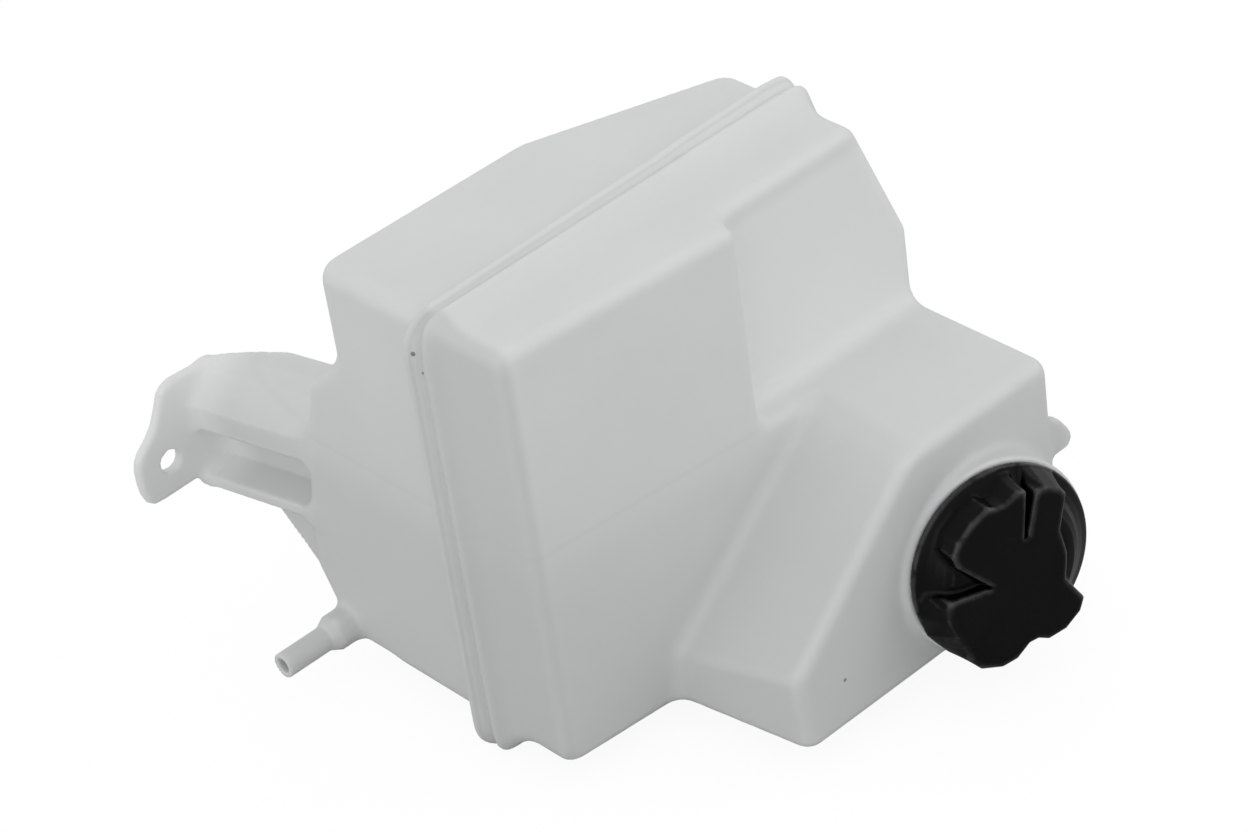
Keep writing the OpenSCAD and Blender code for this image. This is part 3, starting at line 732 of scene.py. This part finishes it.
class TANK_OT_inner_parts(bpy.types.Operator):
    """Gives the seals, core, springs and valves inside the neck their finishes"""

    bl_idname = "tank.inner_parts"
    bl_label = "Inner Parts"

    def execute(self, context):
        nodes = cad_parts
        rubber = black_plastic("seal_rubber_finish", 22, 0.75, False)
        nylon = black_plastic("core_nylon_finish", 52, 0.5, False)
        acetal = black_plastic("retainer_finish", 140, 0.4, False)
        steel = metal("spring_steel_finish", (0.55, 0.55, 0.56, 1.0), 0.3)
        brass = metal("valve_brass_finish", (0.66, 0.49, 0.2, 1.0), 0.35)
        finishes = {"neck_gasket": rubber, "core_o_ring": rubber, "pressure_seal": rubber,
                    "core_body": nylon, "core_cover": nylon, "spring_retainer": acetal,
                    "pressure_spring": steel, "vacuum_spring": steel, "pressure_disc": acetal,
                    "vacuum_valve": brass, "vacuum_collar": brass}
        for name, material in finishes.items():
            if name not in nodes:
                raise RuntimeError("the frame has no node " + name)
            nodes[name].data.materials.clear()
            nodes[name].data.materials.append(material)
        return {"FINISHED"}


class TANK_OT_stage(bpy.types.Operator):
    """Sets the camera, the white floor and the soft studio light"""

    bl_idname = "tank.stage"
    bl_label = "Stage"

    def execute(self, context):
        s = context.scene.tank_stage
        scene = context.scene
        scene.view_settings.view_transform = "Standard"
        camera = bpy.data.objects.new("camera", bpy.data.cameras.new("camera"))
        camera.data.sensor_width, camera.data.lens = 36.0, s.lens
        camera.data.clip_start, camera.data.clip_end = 0.05, 50.0
        camera.matrix_world = Matrix(((0.72052, 0.47589, -0.504361, -0.567285),
                                      (-0.682286, 0.356631, -0.638201, -0.962683),
                                      (-0.123843, 0.803955, 0.581653, 0.781646),
                                      (0.0, 0.0, 0.0, 1.0)))
        scene.collection.objects.link(camera)
        scene.camera = camera

        floor_z = CAD_BOX[0][2]
        corners = [(-6, -6, floor_z), (6, -6, floor_z), (6, 6, floor_z), (-6, 6, floor_z)]
        mesh = bpy.data.meshes.new("floor")
        mesh.from_pydata(corners, [], [(0, 1, 2, 3)])
        floor = bpy.data.objects.new("floor", mesh)
        scene.collection.objects.link(floor)
        m = Finish("floor_white")
        m.set("Base Color", grey(192))
        glow = m.add("ShaderNodeEmission", {}, (1.0, 1.0, 1.0, 1.0), 1.15)
        seen = m.add("ShaderNodeLightPath", {}, out="Is Camera Ray")
        plain = Value(m, m.shader.outputs[0])
        mix = m.add("ShaderNodeMixShader", {}, seen * 0.8, plain, glow)
        m.join(m.nodes["Material Output"].inputs[0], mix)
        mesh.materials.append(m.material)

        scene.world = bpy.data.worlds.new("studio")
        sky = Tree(scene.world)
        way = sky.add("ShaderNodeTexCoord", {}, out="Generated")
        height = sky.add("ShaderNodeSeparateXYZ", {}, way, out="Z")
        glow = sky.add("ShaderNodeMapRange", {}, height, at={3: s.fill * 1.2, 4: s.fill * 0.82})
        seen = sky.add("ShaderNodeLightPath", {}, out="Is Camera Ray")
        level = sky.add("ShaderNodeMapRange", {}, seen, at={3: glow, 4: 1.0})
        back = sky.nodes["Background"]
        sky.join(back.inputs[0], (1.0, 1.0, 1.0, 1.0))
        sky.join(back.inputs[1], level)

        key = bpy.data.lights.new("key", "SUN")
        key.energy, key.angle = s.key, math.radians(70)
        lamp = bpy.data.objects.new("key", key)
        lamp.rotation_euler = (math.radians(12), math.radians(-64), 0.0)
        scene.collection.objects.link(lamp)
        side = bpy.data.lights.new("side", "AREA")
        side.energy, side.size = s.side, 0.7
        panel = bpy.data.objects.new("side", side)
        panel.matrix_world = look_from((0.95, -0.75, 0.75), (0.14, -0.2, 0.0))
        scene.collection.objects.link(panel)
        return {"FINISHED"}


class TANK_PT_panel(bpy.types.Panel):
    """Lists the pieces of the tank"""

    bl_label = "Coolant Expansion Tank"
    bl_idname = "TANK_PT_panel"
    bl_space_type = "VIEW_3D"
    bl_region_type = "UI"
    bl_category = "Tank"

    def draw(self, context):
        for group in ("tank_shell", "tank_cap", "tank_stage"):
            box = self.layout.box()
            settings = getattr(context.scene, group)
            for name in settings.__annotations__:
                box.prop(settings, name)
        for operator in OPERATORS:
            self.layout.operator(operator.bl_idname)


GROUPS = {"tank_shell": TankShellSettings, "tank_cap": TankCapSettings,
          "tank_stage": TankStageSettings}
OPERATORS = (TANK_OT_front_shell, TANK_OT_rear_shell, TANK_OT_cap, TANK_OT_inner_parts,
             TANK_OT_stage)


def register():
    """Registers the settings, the operators and the panel."""
    for cls in (*GROUPS.values(), *OPERATORS, TANK_PT_panel):
        bpy.utils.register_class(cls)
    for name, cls in GROUPS.items():
        setattr(bpy.types.Scene, name, bpy.props.PointerProperty(type=cls))


def unregister():
    """Takes everything back out in reverse order."""
    for name in GROUPS:
        delattr(bpy.types.Scene, name)
    for cls in (TANK_PT_panel, *reversed(OPERATORS), *reversed(list(GROUPS.values()))):
        bpy.utils.unregister_class(cls)


def main():
    """Builds everything in order."""
    register()
    bpy.ops.tank.front_shell()
    bpy.ops.tank.rear_shell()
    bpy.ops.tank.cap()
    bpy.ops.tank.inner_parts()
    bpy.ops.tank.stage()
    bpy.context.view_layer.update()


if __name__ == "__main__":
    main()
